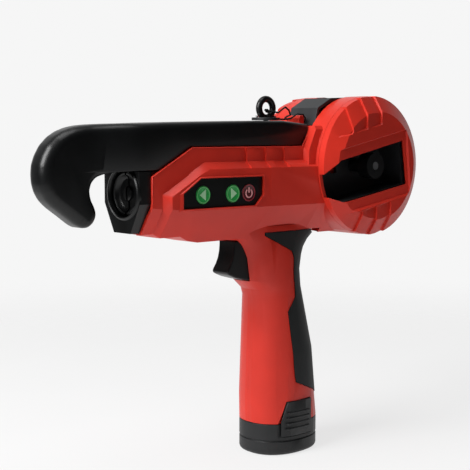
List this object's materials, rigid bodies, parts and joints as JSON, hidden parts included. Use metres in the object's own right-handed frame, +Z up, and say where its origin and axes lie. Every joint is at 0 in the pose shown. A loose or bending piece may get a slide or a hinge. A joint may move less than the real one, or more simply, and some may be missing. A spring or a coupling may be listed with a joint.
{
  "type": "electric vine tying tool",
  "caption": "Battery-powered pistol-grip vine tying tool with a hooked guide arm, a round twister in the nose, and a wire reel drum behind the grip.",
  "frame": {"origin": "centre of the battery's flat base, which the tool stands on", "axes": "+X forward, from the reel drum to the hook; +Y to the tool's left, the side with the buttons; +Z up the grip"},
  "size_m": [0.3003, 0.08, 0.2425],
  "materials": {
    "red_abs": "moulded ABS, satin gloss, faint fine texture",
    "gloss_black": "moulded black plastic with a soft gloss",
    "matte_black": "moulded black plastic, matte",
    "grip_rubber": "soft overmoulded grip rubber with a fine grain",
    "battery_black": "textured dark grey battery plastic",
    "green_button": "green membrane button",
    "red_button": "pale pink membrane button with a dark red ring",
    "circuit_board": "green solder mask",
    "cell_wrap": "shrink wrap on round cells",
    "steel": "machined and zinc-plated steel",
    "brass": "plain brass",
    "coated_wire": "paper- or plastic-coated tying wire"
  },
  "bodies": {
    "tool": {"left_body_shell": "red_abs", "right_body_shell": "red_abs", "guide_arm": "gloss_black", "arm_guide_tube": "steel", "nose_block": "gloss_black", "twister_bearing": "brass", "twister_motor": "steel", "feed_motor": "steel", "pressure_roller_pin": "steel", "inlet_guide_tube": "steel", "body_guide_tube": "steel", "button_panel": "gloss_black", "control_board": "circuit_board", "left_reel_cover": "red_abs", "right_reel_cover": "red_abs", "left_chamber_wall": "matte_black", "right_chamber_wall": "matte_black", "lid_hinge_pin": "steel", "trigger_spring": "steel", "trigger_switch": "matte_black", "grip_rubber": "grip_rubber", "terminal_block": "matte_black", "ring_base": "matte_black", "ring_base_screw_1": "steel", "ring_base_screw_2": "steel", "eye_ring": "gloss_black", "lanyard_cord": "grip_rubber", "housing_screw_1": "steel", "housing_screw_2": "steel", "housing_screw_3": "steel", "housing_screw_4": "steel", "housing_screw_5": "steel"},
    "battery": {"battery_base": "battery_black", "battery_case": "battery_black", "battery_cell_1": "cell_wrap", "battery_cell_2": "cell_wrap", "battery_cell_3": "cell_wrap", "battery_terminals": "brass"},
    "left_latch": {"battery_latch_left": "battery_black"},
    "right_latch": {"battery_latch_right": "battery_black"},
    "twister": {"twister_head": "matte_black", "twister_shaft": "steel", "twister_gear": "steel"},
    "motor_pinion": {"twister_pinion": "brass"},
    "wire_drive": {"drive_roller": "steel", "feed_shaft": "steel", "feed_gear": "brass"},
    "feed_motor_pinion": {"feed_pinion": "steel"},
    "pinch_roller": {"pressure_roller": "steel"},
    "wire_reel": {"reel": "red_abs", "wire_winding": "coated_wire", "reel_axle": "gloss_black", "axle_screw": "steel"},
    "lid": {"reel_lid": "matte_black"},
    "lid_catch": {"lid_latch": "red_abs"},
    "trigger_lever": {"trigger": "gloss_black"},
    "cutter": {"cutter_blade": "steel"},
    "back_button": {"button_back": "green_button"},
    "forward_button": {"button_forward": "green_button"},
    "power_button": {"button_power": "red_button"}
  },
  "joints": [
    {"name": "battery_slide", "type": "slide", "parent": "tool", "child": "battery", "axis": [0, 0, -1], "range_m": [0, 0.055]},
    {"name": "left_latch_press", "type": "slide", "parent": "battery", "child": "left_latch", "axis": [0, -1, 0], "range_m": [0, 0.0012], "stiffness_N_per_m": 1500, "springref_m": -0.001},
    {"name": "right_latch_press", "type": "slide", "parent": "battery", "child": "right_latch", "axis": [0, 1, 0], "range_m": [0, 0.0012], "stiffness_N_per_m": 1500, "springref_m": -0.001},
    {"name": "twister_spin", "type": "hinge", "parent": "tool", "child": "twister", "pos_m": [0.127, 0.002, 0.181], "axis": [1, 0, 0], "continuous": true},
    {"name": "motor_pinion_spin", "type": "hinge", "parent": "tool", "child": "motor_pinion", "pos_m": [0.103, 0.002, 0.1654], "axis": [1, 0, 0], "continuous": true},
    {"name": "reel_spin", "type": "hinge", "parent": "tool", "child": "wire_reel", "pos_m": [-0.058, 0, 0.1945], "axis": [0, 1, 0], "continuous": true},
    {"name": "wire_drive_spin", "type": "hinge", "parent": "tool", "child": "wire_drive", "pos_m": [0.03, 0, 0.189], "axis": [0, 1, 0], "continuous": true},
    {"name": "feed_pinion_spin", "type": "hinge", "parent": "tool", "child": "feed_motor_pinion", "pos_m": [0.03, -0.014, 0.1734], "axis": [0, 1, 0], "continuous": true},
    {"name": "pinch_roller_spin", "type": "hinge", "parent": "tool", "child": "pinch_roller", "pos_m": [0.03, 0, 0.2006], "axis": [0, 1, 0], "continuous": true},
    {"name": "lid_hinge", "type": "hinge", "parent": "tool", "child": "lid", "pos_m": [-0.10591, 0, 0.19743], "axis": [0, -1, 0], "range_deg": [0, 100]},
    {"name": "lid_catch_slide", "type": "slide", "parent": "tool", "child": "lid_catch", "axis": [1, 0, 0], "range_m": [0, 0.0016], "stiffness_N_per_m": 1000, "springref_m": -0.001},
    {"name": "trigger_pull", "type": "slide", "parent": "tool", "child": "trigger_lever", "axis": [-1, 0, 0], "range_m": [0, 0.006], "stiffness_N_per_m": 450, "springref_m": -0.004, "deforming": ["trigger_spring"]},
    {"name": "cutter_stroke", "type": "slide", "parent": "tool", "child": "cutter", "axis": [0, 0, 1], "range_m": [0, 0.003], "stiffness_N_per_m": 400, "springref_m": -0.001},
    {"name": "back_button_press", "type": "slide", "parent": "tool", "child": "back_button", "axis": [0, -1, 0], "range_m": [0, 0.0005], "stiffness_N_per_m": 2000, "springref_m": -0.0005},
    {"name": "forward_button_press", "type": "slide", "parent": "tool", "child": "forward_button", "axis": [0, -1, 0], "range_m": [0, 0.0005], "stiffness_N_per_m": 2000, "springref_m": -0.0005},
    {"name": "power_button_press", "type": "slide", "parent": "tool", "child": "power_button", "axis": [0, -1, 0], "range_m": [0, 0.0005], "stiffness_N_per_m": 2000, "springref_m": -0.0005}
  ],
  "couplings": [
    {"joint": "motor_pinion_spin", "follows": "twister_spin", "ratio": -2},
    {"joint": "wire_drive_spin", "follows": "reel_spin", "ratio": 5},
    {"joint": "feed_pinion_spin", "follows": "reel_spin", "ratio": -10},
    {"joint": "pinch_roller_spin", "follows": "reel_spin", "ratio": -7.907}
  ]
}
